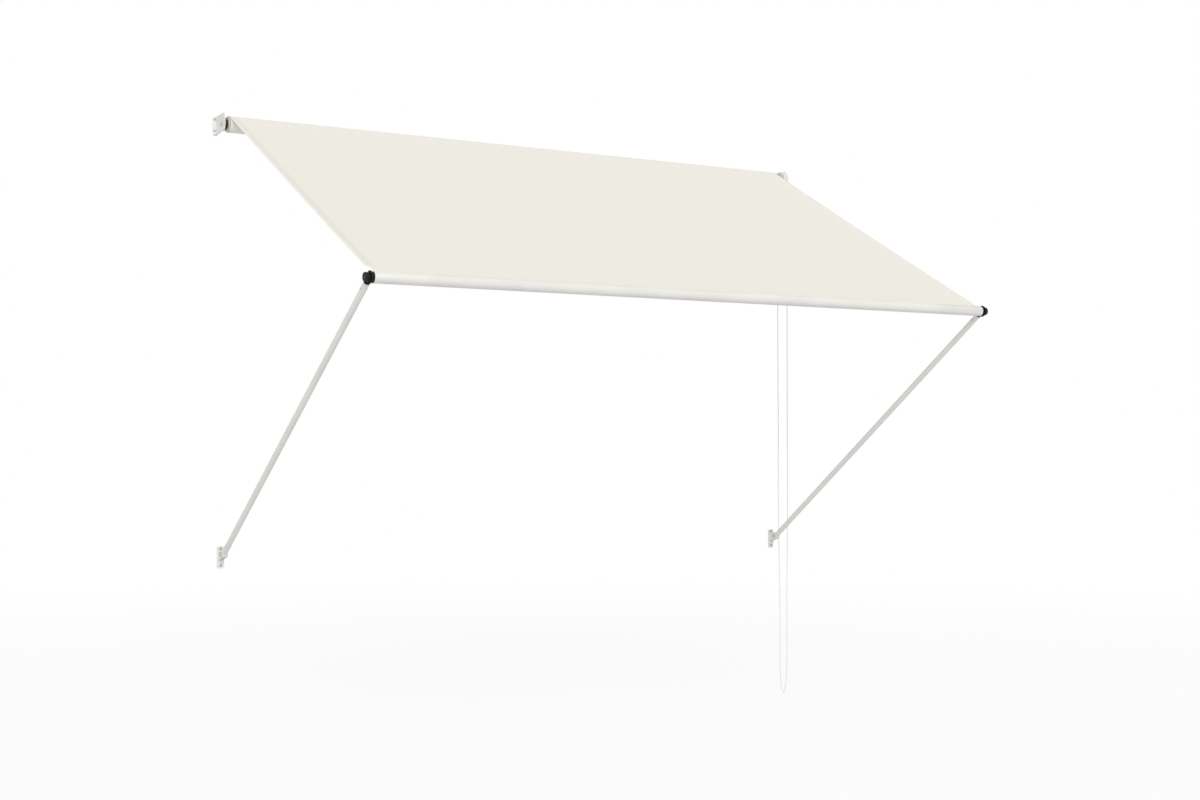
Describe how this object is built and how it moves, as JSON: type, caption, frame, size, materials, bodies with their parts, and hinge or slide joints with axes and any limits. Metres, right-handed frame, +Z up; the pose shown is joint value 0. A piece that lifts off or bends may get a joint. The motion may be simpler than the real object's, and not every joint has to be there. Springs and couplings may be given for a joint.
{
  "type": "drop-arm canvas awning",
  "caption": "Wall-mounted drop-arm awning: a chain-driven roller lets out a flat cream canvas to a round front bar on swinging arms.",
  "frame": {"origin": "centre of the left top bracket's wall face, level with the roller axis", "axes": "+X along the wall towards the chain side, +Y into the wall, +Z up"},
  "size_m": [2.4849, 1.2834, 2.1942],
  "materials": {
    "coated_metal": "satin powder coat, off-white",
    "coated_plastic": "moulded, off-white",
    "canvas": "plain-woven cream canvas",
    "black_plastic": "moulded, fine spark texture",
    "grey_plastic": "moulded, light grey",
    "white_plastic": "moulded, smooth white",
    "zinc_plate": "zinc plated",
    "bright_steel": "ground"
  },
  "bodies": {
    "wall_mount": {"top_bracket_left": "coated_metal", "top_bracket_right": "coated_metal", "lower_bracket_left": "coated_metal", "lower_bracket_right": "coated_metal", "top_screw_left_upper": "zinc_plate", "top_screw_left_lower": "zinc_plate", "top_screw_right_upper": "zinc_plate", "top_screw_right_lower": "zinc_plate", "lower_screw_left_upper": "zinc_plate", "lower_screw_left_lower": "zinc_plate", "lower_screw_right_upper": "zinc_plate", "lower_screw_right_lower": "zinc_plate", "pivot_bolt_left": "zinc_plate", "pivot_nut_left": "zinc_plate", "pivot_bolt_right": "zinc_plate", "pivot_nut_right": "zinc_plate", "idle_pin": "bright_steel", "idle_pin_clip": "bright_steel", "idle_spacer": "grey_plastic", "idle_ring": "black_plastic", "drive_cover": "coated_plastic", "drive_base": "coated_plastic", "drive_axle": "bright_steel", "axle_nut": "zinc_plate", "base_screw_upper": "zinc_plate", "base_screw_lower": "zinc_plate", "chain_over_wheel": "white_plastic", "bead_chain": "white_plastic"},
    "roller": {"roller_tube": "zinc_plate", "roller_spline": "white_plastic", "fabric_roll": "canvas", "idle_plug": "grey_plastic", "drive_plug": "white_plastic", "chain_wheel": "white_plastic", "brake_spring": "bright_steel"},
    "cloth": {"canopy": "canvas"},
    "left_arm": {"arm_tube_left": "coated_metal", "arm_foot_left": "coated_metal", "foot_rivet_left": "zinc_plate", "arm_eye_left": "black_plastic", "eye_rivet_left": "zinc_plate"},
    "right_arm": {"arm_tube_right": "coated_metal", "arm_foot_right": "coated_metal", "foot_rivet_right": "zinc_plate", "arm_eye_right": "black_plastic", "eye_rivet_right": "zinc_plate"},
    "bar": {"front_bar": "coated_metal", "bar_spline": "white_plastic", "bar_plug_left": "black_plastic", "bar_plug_right": "black_plastic", "bar_button_left": "black_plastic", "bar_button_right": "black_plastic", "button_screw_left": "zinc_plate", "button_screw_right": "zinc_plate"}
  },
  "joints": [
    {"name": "left_arm_swing", "type": "hinge", "parent": "wall_mount", "child": "left_arm", "pos_m": [0.013, -0.038, -1.49976], "axis": [-1, 0, 0], "range_deg": [0, 51], "deforming": ["canopy"]},
    {"name": "right_arm_swing", "type": "hinge", "parent": "wall_mount", "child": "right_arm", "pos_m": [2.424, -0.038, -1.49976], "axis": [-1, 0, 0], "range_deg": [0, 51.2]},
    {"name": "bar_turn", "type": "hinge", "parent": "left_arm", "child": "bar", "pos_m": [0.013, -1.26344, -0.63471], "axis": [-1, 0, 0], "range_deg": [-25.6, 0]},
    {"name": "cloth_tilt", "type": "hinge", "parent": "wall_mount", "child": "cloth", "pos_m": [0.01, -0.065, 0], "axis": [-1, 0, 0], "range_deg": [0, 25.6]},
    {"name": "roller_spin", "type": "hinge", "parent": "wall_mount", "child": "roller", "pos_m": [0.008, -0.065, 0], "axis": [-1, 0, 0], "range_deg": [0, 2460]}
  ],
  "couplings": [
    {"joint": "right_arm_swing", "follows": "left_arm_swing", "ratio": 1},
    {"joint": "bar_turn", "follows": "left_arm_swing", "ratio": -0.5},
    {"joint": "cloth_tilt", "follows": "left_arm_swing", "ratio": 0.5},
    {"joint": "roller_spin", "follows": "left_arm_swing", "ratio": 48.1}
  ]
}
